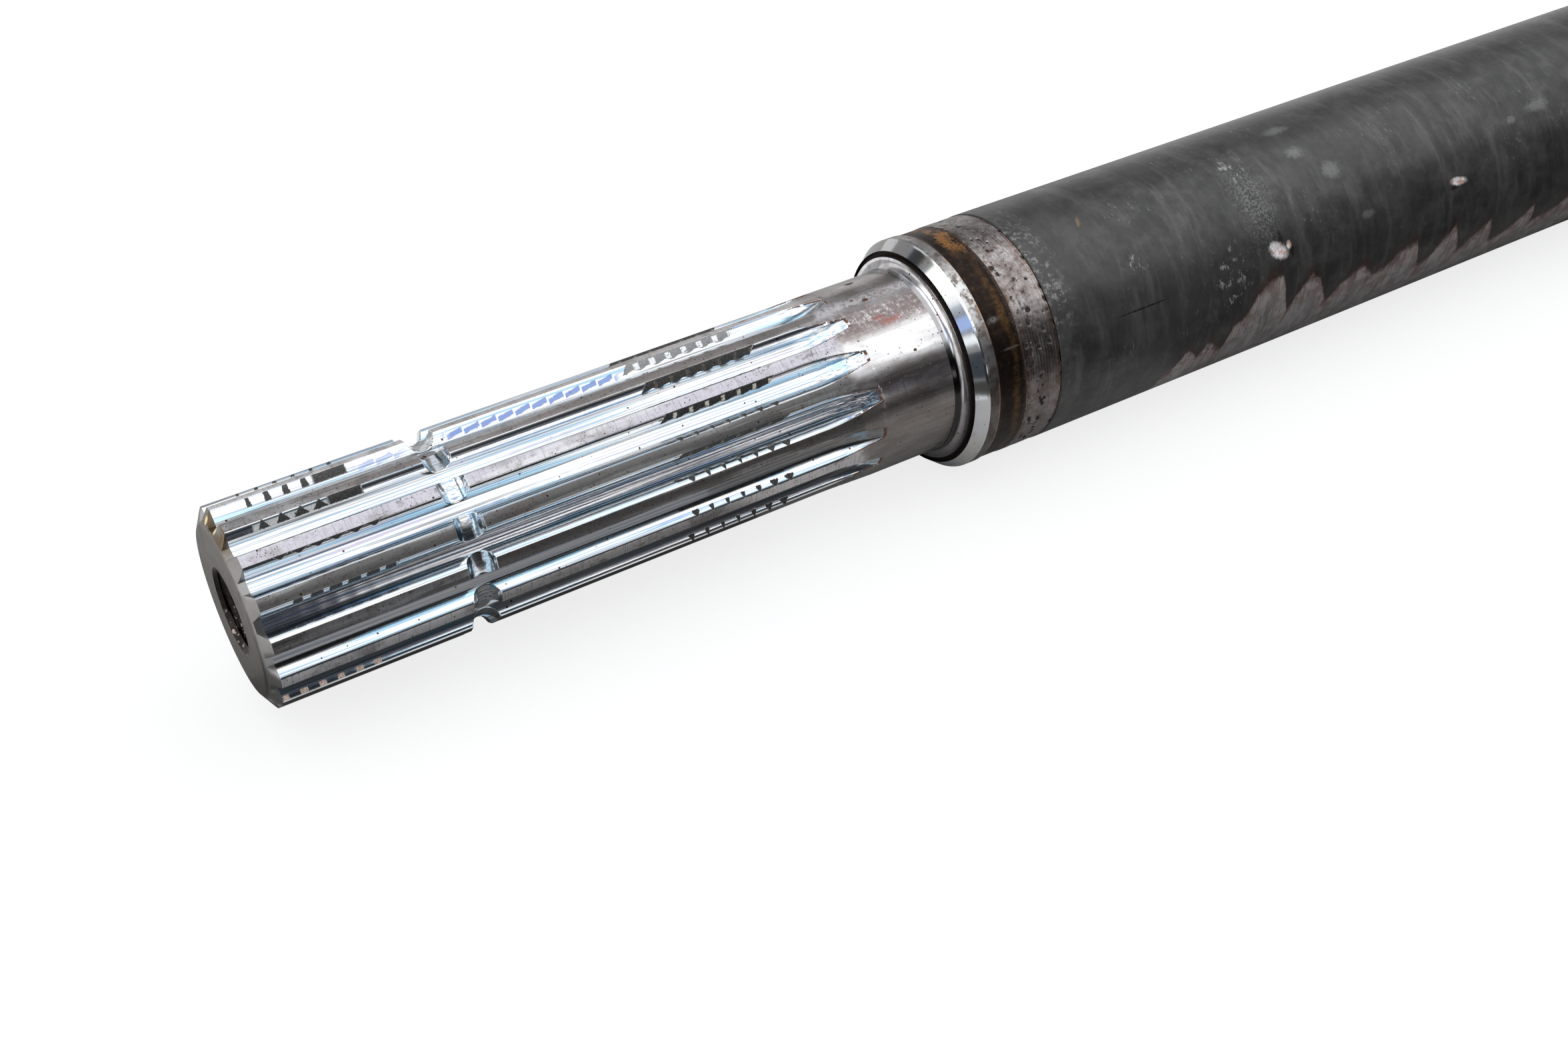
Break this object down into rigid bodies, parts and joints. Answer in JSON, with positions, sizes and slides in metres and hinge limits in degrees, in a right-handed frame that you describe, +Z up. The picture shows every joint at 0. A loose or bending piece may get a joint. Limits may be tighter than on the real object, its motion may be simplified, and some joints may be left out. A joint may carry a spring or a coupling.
{
  "type": "jackshaft",
  "caption": "Steel jackshaft: a tube with a machined stub welded into each end, each with involute splines, a lock groove, a bearing journal and a tapped end.",
  "frame": {"origin": "middle of the shaft, on its axis", "axes": "+X along the shaft from the near stub to the far stub, +Z up as the shaft lies level"},
  "size_m": [0.8, 0.0636, 0.0636],
  "materials": {
    "machined_steel": "ground and hobbed bright steel with light rust spots",
    "weld_metal": "weld turned flush, with open pits and rust",
    "scaled_steel": "dark mill scale with scuffs and bare scraped patches"
  },
  "bodies": {
    "root": {"near_splined_stub": "machined_steel", "far_splined_stub": "machined_steel", "near_weld": "weld_metal", "far_weld": "weld_metal", "centre_tube": "scaled_steel"}
  },
  "joints": []
}
